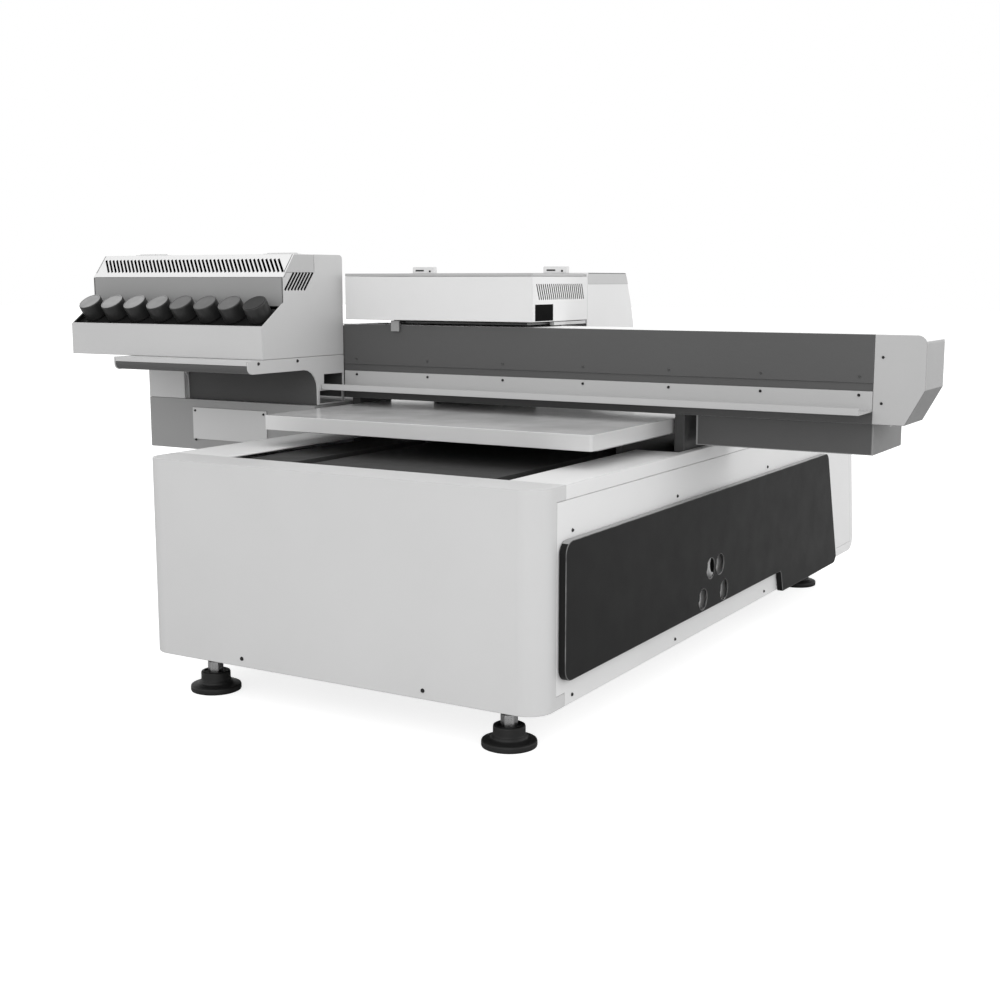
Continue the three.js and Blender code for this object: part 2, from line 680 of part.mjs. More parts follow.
// The carriage plate: an upright back with jaws round the rail, and a shelf over the beam.
function carriagePlate() {
  const { left, right, top } = CARRIAGE;
  const back = BEAM.rear + X_RAIL.depth + GAP;
  const jaw = GAP + 0.2;
  const x0 = left + 13;
  const x1 = right - 19;
  return geometryOf(join(
    box(x0, x1, back + 7, back + 17, 432, top - 10),
    box(x0 + 20, x1 - 20, back, back + 8, X_RAIL.bottom - 20, X_RAIL.bottom + X_RAIL.height + 20),
    box(x0 + 20, x1 - 20, BEAM.rear + 3, back + 1, X_RAIL.bottom + X_RAIL.height + jaw, X_RAIL.bottom + 40),
    box(x0 + 20, x1 - 20, BEAM.rear + 3, back + 1, X_RAIL.bottom - 20, X_RAIL.bottom - jaw),
    box(x0 + 120, x1, BEAM.front + 5, back + 10, 549, 553),
  ));
}

// The front cover: four walls, open below and above, with a lid on top.
function carriageCover() {
  const { left, right, front, split, bottom, top } = CARRIAGE;
  return cut(
    box(left, right, front, split - GAP, bottom, top),
    box(left + SHEET, right - SHEET, front + SHEET, split, bottom - 1, top - SHEET),
    box(left + 20, right - 20, front + 20, split - 25, top - SHEET - 1, top + 1),
  );
}

// The rear cover: a shell with a curved back, open below and in front.
function rearCover() {
  const { left, right, split } = CARRIAGE;
  const { bottom, rear, top } = REAR_COVER;
  const back = (inset) => new THREE.SplineCurve([
    [rear, bottom], [rear, 480], [rear - 9, 545], [rear - 26, 594], [rear - 50, top],
  ].map(([y, z]) => new THREE.Vector2(y - inset, z))).getPoints(16).map((point) => [point.x, point.y]);
  return cut(
    prismX([...back(0), [split, top], [split, bottom]], left, right),
    prismX([...back(SHEET).slice(0, -1), [rear - 50 - SHEET, top - SHEET], [split - 1, top - SHEET],
      [split - 1, bottom - 1], [rear - SHEET, bottom - 1]], left + SHEET, right - SHEET),
  );
}

// The print heads under their base plate; the small blocks are the nozzle faces.
function headBlock() {
  const { left, right, front, rear, bottom } = HEAD;
  const parts = [
    box(left - 30, right + 130, front, rear, 428, 436),
    box(left, right, front + 4, rear - 4, 420, 540),
  ];
  for (let i = 0; i < 3; i += 1) {
    const x = left + 4 + i * 43;
    parts.push(box(x, x + 36, front + 4, rear - 4, bottom, 430));
  }
  return geometryOf(join(...parts));
}

add('carriage_plate', carriagePlate(), DARK_GREY);
add('carriage_cover', carriageCover(), WHITE);
add('carriage_rear_cover', rearCover(), WHITE);
add('carriage_lid', box(
  CARRIAGE.left, CARRIAGE.right, CARRIAGE.front, CARRIAGE.lidRear,
  CARRIAGE.top + GAP, CARRIAGE.top + CARRIAGE.lid), LIGHT_GREY);
add('head_block', headBlock(), DARK_GREY);
add('uv_lamp', box(HEAD.right + 12, HEAD.right + 92, HEAD.front + 4, HEAD.rear, HEAD.bottom + 2, 427.6), BLACK);

// ---------------------------------------------------------------------------------------------------
// The finished printer stands on the floor, with its origin under the middle of its footprint.
// ---------------------------------------------------------------------------------------------------

const printer = new THREE.Group();
printer.add(machine);
const extent = new THREE.Box3().setFromObject(machine);
const middle = extent.getCenter(new THREE.Vector3());
machine.position.set(-middle.x, -middle.y, -extent.min.z);

export default printer;
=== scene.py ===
# %% [markdown]
# # A flatbed UV printer
# The machine is a low box on four levelling feet. A flat table slides through it from front to back, a
# fixed gantry crosses it, and a print carriage runs along the gantry. An ink station with eight screw
# caps hangs at the gantry's left end. The shapes that carry load or move are loaded first, as a fixed
# frame. Everything made here is placed from that frame's own boxes, so nothing has to be fitted by eye.

# %% Load the frame
import json
import math

import bmesh
import bpy
from mathutils import Matrix, Vector


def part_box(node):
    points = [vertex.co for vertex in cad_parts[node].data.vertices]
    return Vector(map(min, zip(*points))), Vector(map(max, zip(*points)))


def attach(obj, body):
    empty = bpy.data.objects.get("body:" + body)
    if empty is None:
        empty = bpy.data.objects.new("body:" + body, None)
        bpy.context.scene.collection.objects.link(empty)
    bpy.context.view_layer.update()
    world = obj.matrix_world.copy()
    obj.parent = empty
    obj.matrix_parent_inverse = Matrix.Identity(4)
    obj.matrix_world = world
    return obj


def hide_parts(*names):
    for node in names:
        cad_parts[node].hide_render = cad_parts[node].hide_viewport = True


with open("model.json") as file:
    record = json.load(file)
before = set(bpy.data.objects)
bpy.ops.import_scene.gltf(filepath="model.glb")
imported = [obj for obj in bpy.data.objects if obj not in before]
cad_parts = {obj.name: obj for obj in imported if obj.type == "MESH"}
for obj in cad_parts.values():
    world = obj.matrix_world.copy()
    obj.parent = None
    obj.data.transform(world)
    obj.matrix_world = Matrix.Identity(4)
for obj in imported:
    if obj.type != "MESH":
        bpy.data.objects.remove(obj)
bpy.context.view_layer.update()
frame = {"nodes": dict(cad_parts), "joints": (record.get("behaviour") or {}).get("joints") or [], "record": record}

# %% [markdown]
# ## Places on the machine
# A fitter measures a machine like this from one corner of its base. Places below are given the same way:
# in millimetres from the base's lower front right corner, X to the right, Y to the rear and Z up. The
# corner itself is read from the frame, so if the frame's origin moves, every piece moves with it.

# %% Measure from the base's corner
MM = 0.001
corner = Vector((
    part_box("side_panel_right")[1].x,
    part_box("front_panel")[0].y,
    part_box("front_panel")[0].z,
))
X_AXIS, Y_AXIS, Z_AXIS = Vector((1, 0, 0)), Vector((0, 1, 0)), Vector((0, 0, 1))


def at(x, y, z):
    """The place x, y, z millimetres from the base's corner, in metres."""
    return corner + Vector((x, y, z)) * MM


print("base corner:", [round(v, 4) for v in corner])

# %% [markdown]
# ## Camera
# The printer is seen from the front right, from just above the height of its gantry, about two metres
# away. A lens of about 50 mm keeps the perspective of a product picture taken from that distance. The
# camera stays level, so upright edges lean only as much as its small downward tilt makes them.

# %% Camera
CAMERA_PLACE = (948, -1716, 632)
CAMERA_TILT, CAMERA_TURN = 81.07, 30.58
CAMERA_LENS = 50.46

camera_data = bpy.data.cameras.new("camera")
camera_data.lens = CAMERA_LENS
camera = bpy.data.objects.new("camera", camera_data)
camera.location = at(*CAMERA_PLACE)
camera.rotation_euler = (math.radians(CAMERA_TILT), 0, math.radians(CAMERA_TURN))
bpy.context.scene.collection.objects.link(camera)
bpy.context.scene.camera = camera
print("camera stands", round((camera.location - at(0, 0, 300)).length, 2), "m from the front corner")

# %% [markdown]
# ## Stage and light
# Painted sheet metal shows its form through soft steps of grey, so the light has to come from
# everywhere: a white surround does most of the work, and large lamps above and in front lift the faces
# that turn to them a little. The plain view transform keeps white paint white. The floor looks white, but
# it throws back only part of the light, as a studio floor does, so undersides stay darker than tops.

# %% Floor, surround and lamps
FLOOR_SIZE = 30.0
SURROUND = 1.0
scene = bpy.context.scene
scene.view_settings.view_transform = "Standard"

world = bpy.data.worlds.new("surround")
world.use_nodes = True
background = world.node_tree.nodes["Background"]
background.inputs["Color"].default_value = (1, 1, 1, 1)
background.inputs["Strength"].default_value = SURROUND
scene.world = world

floor_shape = bmesh.new()
bmesh.ops.create_grid(floor_shape, x_segments=1, y_segments=1, size=FLOOR_SIZE)
floor_mesh = bpy.data.meshes.new("floor")
floor_shape.to_mesh(floor_mesh)
floor_shape.free()
floor = bpy.data.objects.new("floor", floor_mesh)
scene.collection.objects.link(floor)


def lamp(name, place, target, size, power):
    """A large square soft lamp at `place` that shines towards `target`."""
    data = bpy.data.lights.new(name, "AREA")
    data.size = size
    data.energy = power
    made = bpy.data.objects.new(name, data)
    made.location = place
    made.rotation_euler = (Vector(target) - Vector(place)).to_track_quat("-Z", "Y").to_euler()
    scene.collection.objects.link(made)
    return made


lamp("top_lamp", (0.6, 0.3, 3.4), (0.1, 0.1, 0.4), 2.6, 8)
lamp("right_lamp", (3.6, 0.6, 1.6), (0.2, 0.0, 0.4), 2.2, 20)
lamp("front_lamp", (1.2, -3.4, 1.4), (-0.1, 0.0, 0.3), 2.2, 24)

# %% [markdown]
# ## Finishes
# Nearly every panel is sheet steel with powder coat: a satin paint with a faint orange-peel surface. One
# function makes it in any shade. A fine noise drives a shallow bump, a broad noise shifts the shade and
# the gloss by a hair, and a face attribute called `edge` marks rounded edges, where paint thins and
# catches dirt; on the black coat those edges are painted lighter, a painted highlight. All patterns read
# Object coordinates, so they have the same scale on every piece.

# %% Node helpers
def linear(shade):
    """The linear value of a grey given as it looks on a screen, from 0 to 1."""
    return shade / 12.92 if shade <= 0.04045 else ((shade + 0.055) / 1.055) ** 2.4


def grey(shade, warmth=0.0):
    """A grey as a colour; warmth shifts it towards yellow, or towards blue when negative."""
    value = linear(shade)
    return (value * (1 + warmth), value, value * (1 - warmth), 1)


class Finish:
    """A material with a Principled shader, and short ways to add what drives it."""

    def __init__(self, name):
        self.material = bpy.data.materials.new(name)
        self.material.use_nodes = True
        self.nodes = self.material.node_tree.nodes
        self.links = self.material.node_tree.links
        self.shader = self.nodes["Principled BSDF"]
        self.place = self.nodes.new("ShaderNodeTexCoord").outputs["Object"]

    def set(self, **sockets):
        for name, value in sockets.items():
            self.shader.inputs[name.replace("_", " ")].default_value = value
        return self

    def noise(self, scale, detail=3.0, stretch=(1, 1, 1)):
        mapping = self.nodes.new("ShaderNodeMapping")
        mapping.inputs["Scale"].default_value = stretch
        texture = self.nodes.new("ShaderNodeTexNoise")
        texture.inputs["Scale"].default_value = scale
        texture.inputs["Detail"].default_value = detail
        self.links.new(self.place, mapping.inputs["Vector"])
        self.links.new(mapping.outputs["Vector"], texture.inputs["Vector"])
        return texture.outputs["Fac"]

    def between(self, factor, low, high):
        ranged = self.nodes.new("ShaderNodeMapRange")
        ranged.inputs["From Min"].default_value = 0.3
        ranged.inputs["From Max"].default_value = 0.7
        ranged.inputs["To Min"].default_value = low
        ranged.inputs["To Max"].default_value = high
        self.links.new(factor, ranged.inputs["Value"])
        return ranged.outputs["Result"]

    def mix(self, factor, first, second):
        mixed = self.nodes.new("ShaderNodeMix")
        mixed.data_type = "RGBA"
        sockets = zip((mixed.inputs[0], mixed.inputs[6], mixed.inputs[7]), (factor, first, second))
        for socket, value in sockets:
            if isinstance(value, bpy.types.NodeSocket):
                self.links.new(value, socket)
            else:
                socket.default_value = value
        return mixed.outputs[2]

    def times(self, first, second):
        maths = self.nodes.new("ShaderNodeMath")
        maths.operation = "MULTIPLY"
        for socket, value in zip(maths.inputs, (first, second)):
            if isinstance(value, bpy.types.NodeSocket):
                self.links.new(value, socket)
            else:
                socket.default_value = value
        return maths.outputs[0]

    def edge(self):
        attribute = self.nodes.new("ShaderNodeAttribute")
        attribute.attribute_name = "edge"
        return attribute.outputs["Fac"]

    def bump(self, height, depth, strength=1.0):
        bump = self.nodes.new("ShaderNodeBump")
        bump.inputs["Strength"].default_value = strength
        bump.inputs["Distance"].default_value = depth
        self.links.new(height, bump.inputs["Height"])
        self.links.new(bump.outputs["Normal"], self.shader.inputs["Normal"])
        return self

    def drive(self, socket, output):
        self.links.new(output, self.shader.inputs[socket])
        return self


# %% Powder coat in every shade
PEEL_SCALE, PEEL_DEPTH = 700.0, 0.00006
PATCH_SCALE = 5.0


def powder_coat(name, shade, rough=0.4, gloss=0.5, peel=1.0, edge_wear_and_highlight=None):
    """Satin paint on sheet metal. Its rounded edges tend towards their own shade: a darker one by default, where
    paint wears, and a lighter one on the black coat, a painted highlight.
    """
    f = Finish(name).set(Specular_IOR_Level=gloss)
    edge_wear_and_highlight = shade * 0.93 if edge_wear_and_highlight is None else edge_wear_and_highlight
    patches = f.noise(PATCH_SCALE, 4.0)
    body = f.mix(f.between(patches, 0.0, 1.0), grey(shade * 0.992), grey(min(shade * 1.008, 1.0)))
    rubbed_and_highlit_edges = f.times(f.edge(), f.between(f.noise(40.0, 4.0), 0.35, 1.0))
    f.drive("Base Color", f.mix(rubbed_and_highlit_edges, body, grey(edge_wear_and_highlight)))
    f.drive("Roughness", f.between(f.noise(18.0, 5.0), rough - 0.03, rough + 0.04))
    f.bump(f.noise(PEEL_SCALE, 2.0), PEEL_DEPTH * peel)
    return f.material


BRIGHT = powder_coat("bright_coat", 0.97)
WHITE = powder_coat("white_coat", 0.89)
PALE = powder_coat("pale_coat", 0.80)
STATION = powder_coat("station_coat", 0.77)
SILVER = powder_coat("silver_coat", 0.72)
# The next coat is a darker copy of the silver coat: painted shade on the gantry end cap's side.
SIDE_SHADE = powder_coat("side_shade_coat", 0.66)
MID = powder_coat("mid_grey_coat", 0.59)
DUSK = powder_coat("dusk_coat", 0.46)
SLATE = powder_coat("slate_coat", 0.33, rough=0.45, gloss=0.35, edge_wear_and_highlight=0.42)
CHARCOAL = powder_coat("charcoal_coat", 0.28, rough=0.5, gloss=0.3, edge_wear_and_highlight=0.33)
# The black coat's rounded edges turn a lighter grey: a painted highlight along every black rim.
BLACK = powder_coat("black_coat", 0.12, rough=0.42, gloss=0.08, edge_wear_and_highlight=0.5)
print("paints:", len([m for m in bpy.data.materials if m.name.endswith("_coat")]))


# %% Plastic, rubber, steel and aluminium
def plastic(name, shade, rough=0.4, gloss=0.4, grain=1500.0, depth=0.00003):
    """Moulded plastic with a fine spark-eroded grain."""
    f = Finish(name).set(Specular_IOR_Level=gloss)
    scuffs = f.between(f.noise(60.0, 5.0), 0.0, 1.0)
    body = f.mix(scuffs, grey(shade), grey(shade * 1.12))
    f.drive("Base Color", f.mix(f.times(f.edge(), 0.6), body, grey(shade * 1.4)))
    f.drive("Roughness", f.between(f.noise(25.0, 4.0), rough - 0.05, rough + 0.06))
    f.bump(f.noise(grain, 2.0), depth)
    return f.material


def metal(name, shade, rough, stretch, scale=30.0, edge_wear_and_highlight=0.9):
    """Machined or drawn metal: a noise stretched along the tool's path scratches it."""
    f = Finish(name).set(Metallic=1.0)
    lines = f.noise(scale, 6.0, stretch)
    f.drive("Base Color", f.mix(f.between(lines, 0.0, 1.0), grey(shade * 0.94), grey(shade * 1.03)))
    f.drive("Roughness", f.between(lines, rough - 0.06, rough + 0.08))
    f.bump(lines, 0.00003)
    return f.material


RUBBER = plastic("foot_rubber", 0.10, rough=0.5, gloss=0.35, grain=900.0, depth=0.00012)
CAP_SIDE = plastic("cap_side", 0.16, rough=0.35)
SCREW_BLACK = plastic("screw_black", 0.08, rough=0.4)
GLOSS_BLACK = plastic("window_black", 0.03, rough=0.12, gloss=0.02, depth=0.000005)
FABRIC_GREY = plastic("cover_grey", 0.22, rough=0.75, gloss=0.2, grain=600.0, depth=0.0002)
STEEL = metal("ground_steel", 0.68, 0.3, (1, 40, 40))
STEEL_ALONG = metal("rail_steel", 0.7, 0.25, (40, 1, 40))
ALUMINIUM = metal("extruded_aluminium", 0.82, 0.35, (1, 60, 60))
CAP_SHADES = (0.54, 0.56, 0.55, 0.5, 0.37, 0.36, 0.36, 0.09)
CAP_TOPS = [plastic(f"cap_top_{i + 1}", shade, 0.35, gloss=0.2) for i, shade in enumerate(CAP_SHADES)]


def table_white():
    """The table's hard white surface: nearly smooth, so it mirrors the gantry softly."""
    f = Finish("table_white").set(Specular_IOR_Level=0.5)
    f.drive("Base Color", f.mix(f.between(f.noise(9.0, 4.0), 0.0, 1.0), grey(0.78), grey(0.8)))
    f.drive("Roughness", f.between(f.noise(14.0, 5.0), 0.12, 0.2))
    f.bump(f.noise(300.0, 2.0), 0.00001)
    return f.material


FLOOR_GLOW = 0.8


def pale_floor():
    """A floor that looks white, and throws back less light than it shows."""
    f = Finish("pale_floor").set(Specular_IOR_Level=0.0)
    f.drive("Base Color", f.mix(f.noise(1.5, 3.0), grey(0.76), grey(0.78)))
    f.drive("Roughness", f.between(f.noise(3.0, 3.0), 0.75, 0.85))
    shown = f.nodes.new("ShaderNodeEmission")
    shown.inputs["Color"].default_value = (1, 1, 1, 1)
    shown.inputs["Strength"].default_value = FLOOR_GLOW
    lit = f.nodes.new("ShaderNodeAddShader")
    chosen = f.nodes.new("ShaderNodeMixShader")
    ray = f.nodes.new("ShaderNodeLightPath")
    f.links.new(f.shader.outputs[0], lit.inputs[0])
    f.links.new(shown.outputs[0], lit.inputs[1])
    f.links.new(ray.outputs["Is Camera Ray"], chosen.inputs[0])
    f.links.new(f.shader.outputs[0], chosen.inputs[1])
    f.links.new(lit.outputs[0], chosen.inputs[2])
    f.links.new(chosen.outputs[0], f.nodes["Material Output"].inputs["Surface"])
    return f.material


TABLE_WHITE = table_white()
floor.data.materials.append(pale_floor())
print("materials:", len(bpy.data.materials))

# %% [markdown]
# ## Ways to make a piece
# A CAD panel has knife edges, and real sheet metal never does: a press brake leaves a small radius on
# every fold and a deburred edge on every cut. So a panel starts as a merged copy of its CAD node, whose
# sharp edges are then bevelled. New pieces start from a cube, a cone or a spun profile. `piece` turns
# the result into an object that rides on its body, with weighted normals so that flat faces shade flat.

# %% Mesh helpers
def cad_copy(node):
    """A merged copy of a CAD node, with each flat face whole again."""
    bm = bmesh.new()
    bm.from_mesh(frame["nodes"][node].data)
    bmesh.ops.remove_doubles(bm, verts=bm.verts, dist=0.02 * MM)
    bmesh.ops.dissolve_limit(
        bm, angle_limit=math.radians(0.5), use_dissolve_boundaries=False, verts=bm.verts, edges=bm.edges)
    return bm


def soften(bm, radius, segments=2, low=28, high=180):
    """Rounds every edge that folds by `low` to `high` degrees, and marks the round faces."""
    mark = bm.faces.layers.float.get("edge") or bm.faces.layers.float.new("edge")
    low, high = math.radians(low), math.radians(high)
    edges = [e for e in bm.edges if len(e.link_faces) == 2 and low < e.calc_face_angle(0.0) <= high]
    made = bmesh.ops.bevel(
        bm, geom=edges, offset=radius * MM, offset_type="OFFSET", segments=segments, profile=0.5,
        affect="EDGES", material=-1, clamp_overlap=False)
    for face in made["faces"]:
        face[mark] = 1.0
    return bm


def block(bm, low, high, turn=None):
    """A box between two corners, each in millimetres from the base's corner; `turn` turns it in place."""
    low, high = at(*low), at(*high)
    size = high - low
    matrix = Matrix.Translation((low + high) / 2)
    if turn is not None:
        matrix = matrix @ turn
    return bmesh.ops.create_cube(bm, size=1.0, matrix=matrix @ Matrix.Diagonal((*size, 1.0)))["verts"]


def lathe(profile, centre, axis=Z_AXIS, steps=48):
    """A new closed shape: the profile spun about the upright axis, then stood on `axis` at `centre`."""
    bm = bmesh.new()
    line = [bm.verts.new((r * MM, 0, h * MM)) for r, h in profile]
    edges = [bm.edges.new(pair) for pair in zip(line, line[1:])]
    bmesh.ops.spin(
        bm, geom=line + edges, cent=(0, 0, 0), axis=(0, 0, 1), angle=math.tau, steps=steps, use_merge=True)
    bmesh.ops.remove_doubles(bm, verts=bm.verts, dist=0.001 * MM)
    bmesh.ops.recalc_face_normals(bm, faces=bm.faces)
    turn = Z_AXIS.rotation_difference(Vector(axis)).to_matrix().to_4x4()
    bmesh.ops.transform(bm, matrix=Matrix.Translation(centre) @ turn, verts=bm.verts)
    return bm


def join(bm, *others):
    """Adds other shapes to `bm` and frees them."""
    for other in others:
        carrier = bpy.data.meshes.new("carrier")
        other.to_mesh(carrier)
        other.free()
        bm.from_mesh(carrier)
        bpy.data.meshes.remove(carrier)
    return bm


def pierce(bm, tools):
    """Cuts the closed shapes in `tools` out of `bm` and returns the result."""
    pair = []
    for name, shape in (("body", bm), ("tools", tools)):
        mesh = bpy.data.meshes.new(name)
        shape.to_mesh(mesh)
        shape.free()
        pair.append(bpy.data.objects.new(name, mesh))
        scene.collection.objects.link(pair[-1])
    body, tool = pair
    cutting = body.modifiers.new("cut", "BOOLEAN")
    cutting.operation, cutting.object, cutting.solver = "DIFFERENCE", tool, "EXACT"
    result = bmesh.new()
    result.from_object(body, bpy.context.evaluated_depsgraph_get())
    for used in pair:
        mesh = used.data
        bpy.data.objects.remove(used)
        bpy.data.meshes.remove(mesh)
    return result


def piece(name, bm, body, finish, stands_for=(), fold=40):
    """Makes the shape an object that rides on `body`; edges that fold by more than `fold` stay crisp."""
    mesh = bpy.data.meshes.new(name)
    bm.to_mesh(mesh)
    bm.free()
    mesh.polygons.foreach_set("use_smooth", [True] * len(mesh.polygons))
    mesh.set_sharp_from_angle(angle=math.radians(fold))
    for material in finish if isinstance(finish, (list, tuple)) else [finish]:
        mesh.materials.append(material)
    made = bpy.data.objects.new(name, mesh)
    scene.collection.objects.link(made)
    shading = made.modifiers.new("even_shading", "WEIGHTED_NORMAL")
    shading.keep_sharp = True
    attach(made, body)
    if stands_for:
        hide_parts(*stands_for)
    return made


body_of = {node: body for body, nodes in frame["record"]["behaviour"]["bodies"].items() for node in nodes}


def paint_faces(bm, index, facing):
    """Gives material `index` to the flat faces whose outward direction passes the test `facing`."""
    bm.normal_update()
    for face in bm.faces:
        if facing(face.normal):
            face.material_index = index
    return bm


def paint_inside(bm, index):
    """Gives material `index` to the faces that look towards the middle of the shape."""
    bm.normal_update()
    spots = [vert.co for vert in bm.verts]
    middle = sum(spots, Vector()) / len(spots)
    for face in bm.faces:
        if (face.calc_center_median() - middle).dot(face.normal) < 0:
            face.material_index = index
    return bm


def paint_cuts(bm, index, sheet, widest=150):
    """Gives material `index` to the small walls, up to `widest` mm2, of slots cut square to `sheet`."""
    mark = bm.faces.layers.float["edge"]
    sheet = Vector(sheet).normalized()
    for face in bm.faces:
        if face[mark] < 0.5 and face.calc_area() < widest * MM * MM and abs(face.normal.dot(sheet)) < 0.5:
            face.material_index = index
    return bm


def panel(node, finish, radius=0.8, segments=2, *coats):
    """A CAD node's finished form, its edges rounded by `radius` millimetres. Each further coat is a
    material and a test of a face's direction, for a panel that is painted in two shades."""
    bm = soften(cad_copy(node), radius, segments)
    for index, (_, facing) in enumerate(coats, start=1):
        paint_faces(bm, index, facing)
    finishes = [finish] + [material for material, _ in coats]
    return piece(node + "_finished", bm, body_of[node], finishes, [node])


# %% [markdown]
# ## The base's panels
# The front panel is one folded sheet that wraps both front corners and runs back a little along the
# sides. Its long folds already follow a round plan in the frame, so only their cut edges need rounding. The
# deck, the sides and the rear panel meet it with narrow gaps, which show as the machine's seam lines.

# %% Front, sides, rear and deck
panel("front_panel", PALE, radius=1.2, segments=3)
for node in ("side_panel_right", "side_panel_left", "rear_panel"):
    panel(node, WHITE)
panel("deck_plate", WHITE, radius=1.2, segments=3)
for node in ("dust_cover_left", "dust_cover_centre"):
    panel(node, FABRIC_GREY)

# %% [markdown]
# ## Side covers
# The black service covers are shallow pans with rounded corners. Seen from the side they show a bright
# line along their rim, where the fold turns towards the light, so their outer edge gets a larger radius
# of three segments; the black coat paints its rounded faces lighter, a painted highlight. Their top walls
# are painted mid grey, a painted reflection. Dark cups close the four holes from behind; each is a turned
# profile with a thin lip.

# %% Black covers
COVER_HOLES = ((582, 66), (683, 65), (616, 117), (660, 117))
CUP_PROFILE = (
    (0, -16), (15.6, -16), (16.6, -15), (16.6, -0.6), (16.2, 0),
    (15.6, 0), (15.2, -0.6), (15.2, -14), (0, -14),
)

# The covers' upward faces are painted mid grey: a painted reflection of the white surround.
for side in ("right", "left"):
    panel(f"side_cover_{side}", BLACK, 1.1, 3, (MID, lambda normal: normal.z > 0.8))
cups = join(bmesh.new(), *(lathe(CUP_PROFILE, at(0, y, z), X_AXIS) for y, z in COVER_HOLES))
piece("cover_hole_cups", cups, "base", RUBBER)

# %% [markdown]
# ## Screws
# Button-head screws hold the sheet metal. Each head is a short cone-shaped disc whose top is inset and
# pushed in, which leaves the socket. The heads of one panel are joined into one piece, since they are
# identical and never move apart.

# %% Screw heads
SIDE_SCREWS_TOP = ((99.4, 265.5), (487, 265), (933.4, 264.4))
SIDE_SCREWS_LOW = ((101.7, 13), (488.2, 12.2), (933.4, 11.8))
HEAD_SIDES = 18


def screw_head(place, axis, radius=3.6, height=1.9):
    """One button head at `place`, facing along `axis`."""
    bm = bmesh.new()
    bmesh.ops.create_cone(
        bm, cap_ends=True, segments=HEAD_SIDES, radius1=radius * MM, radius2=radius * 0.72 * MM,
        depth=height * MM)
    top = max(bm.faces, key=lambda face: face.calc_center_median().z)
    bmesh.ops.inset_region(bm, faces=[top], thickness=radius * 0.3 * MM)
    bmesh.ops.translate(bm, verts=top.verts, vec=(0, 0, -height * 0.6 * MM))
    turn = Z_AXIS.rotation_difference(Vector(axis)).to_matrix().to_4x4()
    bmesh.ops.transform(
        bm, matrix=Matrix.Translation(place + Vector(axis) * height / 2 * MM) @ turn, verts=bm.verts)
    return bm


def screws(name, places, axis, body="base", finish=SCREW_BLACK, radius=3.6):
    """One piece that holds a screw head at each place."""
    heads = join(bmesh.new(), *(screw_head(place, axis, radius) for place in places))
    return piece(name, heads, body, finish)


side_screws = SIDE_SCREWS_TOP + SIDE_SCREWS_LOW
base_left = (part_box("side_panel_left")[0].x - corner.x) / MM
screws("side_screws_right", [at(0, y, z) for y, z in side_screws], X_AXIS, radius=3.0)
screws("side_screws_left", [at(base_left, y, z) for y, z in side_screws], -X_AXIS, radius=3.0)
screws("front_screws", [at(x, 0, 14) for x in (-561, -203)], -Y_AXIS)
REAR_LOW, REAR_TOP, PANEL_TOP = 1543.0, 1488.0, 336.0  # the rear panel leans forward as it rises
rear_lean = (REAR_LOW - REAR_TOP) / PANEL_TOP
rear_places = [at(x, REAR_LOW - rear_lean * z, z) for x in (-700, -374, -48) for z in (52, 290)]
screws("rear_screws", rear_places, Vector((0, 1, rear_lean)).normalized())
print("side screws:", len(side_screws) * 2)

# %% [markdown]
# ## Levelling feet
# A levelling foot is a rubber-faced disc under a drum, with a steel hexagon on a threaded stud. The
# rubber part is a spun profile with rounded lips, which takes far fewer points than modelling it face by
# face. The nut is a six-sided cone with its edges bevelled, and the stud's thread is a zigzag profile.

# %% Feet
FOOT_PROFILE = (
    (0, 0), (40.5, 0), (42.4, 0.8), (43, 2.4), (43, 8), (42.3, 10), (40, 11), (33, 12.2), (29.5, 13.4),
    (28.2, 15), (27.8, 17), (26, 18.2), (25, 20), (25, 31), (24.4, 33), (22.6, 34), (19.5, 34),
    (18.8, 32.6), (0, 32.6),
)
STUD_RADIUS, THREAD_DEPTH, THREAD_PITCH = 8.0, 0.9, 2.0
NUT_RADIUS, NUT_LOW, NUT_HIGH = 13.7, 32.0, 51.0


def hexagon(centre, radius, low, high):
    """A hex nut with bevelled edges, between two heights."""
    bm = bmesh.new()
    bmesh.ops.create_cone(
        bm, cap_ends=True, segments=6, radius1=radius * MM, radius2=radius * MM, depth=(high - low) * MM)
    bmesh.ops.transform(
        bm, matrix=Matrix.Translation(centre + Vector((0, 0, (low + high) / 2)) * MM), verts=bm.verts)
    return soften(bm, 1.3, 3)


def thread(low, high):
    """The zigzag profile of a threaded stud between two heights."""
    points = [(0, low)]
    steps = int((high - low) / THREAD_PITCH)
    for i in range(steps):
        z = low + i * THREAD_PITCH
        points += [(STUD_RADIUS - THREAD_DEPTH, z), (STUD_RADIUS, z + THREAD_PITCH / 2)]
    return points + [(STUD_RADIUS - THREAD_DEPTH, high), (0, high)]


for row in ("front", "rear"):
    for side in ("left", "right"):
        node = f"foot_{row}_{side}"
        low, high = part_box(node)
        centre = Vector(((low.x + high.x) / 2, (low.y + high.y) / 2, low.z))
        reach = (high.z - low.z) / MM
        rubber = lathe(FOOT_PROFILE, centre, steps=64)
        piece(node + "_rubber", rubber, node, RUBBER, [node], fold=60)
        nut = hexagon(centre, NUT_RADIUS, NUT_LOW, NUT_HIGH)
        steel = join(nut, lathe(thread(NUT_HIGH - 1, reach), centre))
        piece(node + "_stud", steel, node, STEEL)
print("feet reach", round(reach), "mm")

# %% [markdown]
# ## The table
# The printing table is a thick hard white plate. Its upright corners are round in the frame, and a
# small radius on the top rim catches the light as a fine line. The plate under it is plain painted
# steel. The saddle, rails and screw below are working parts, and stay simple.

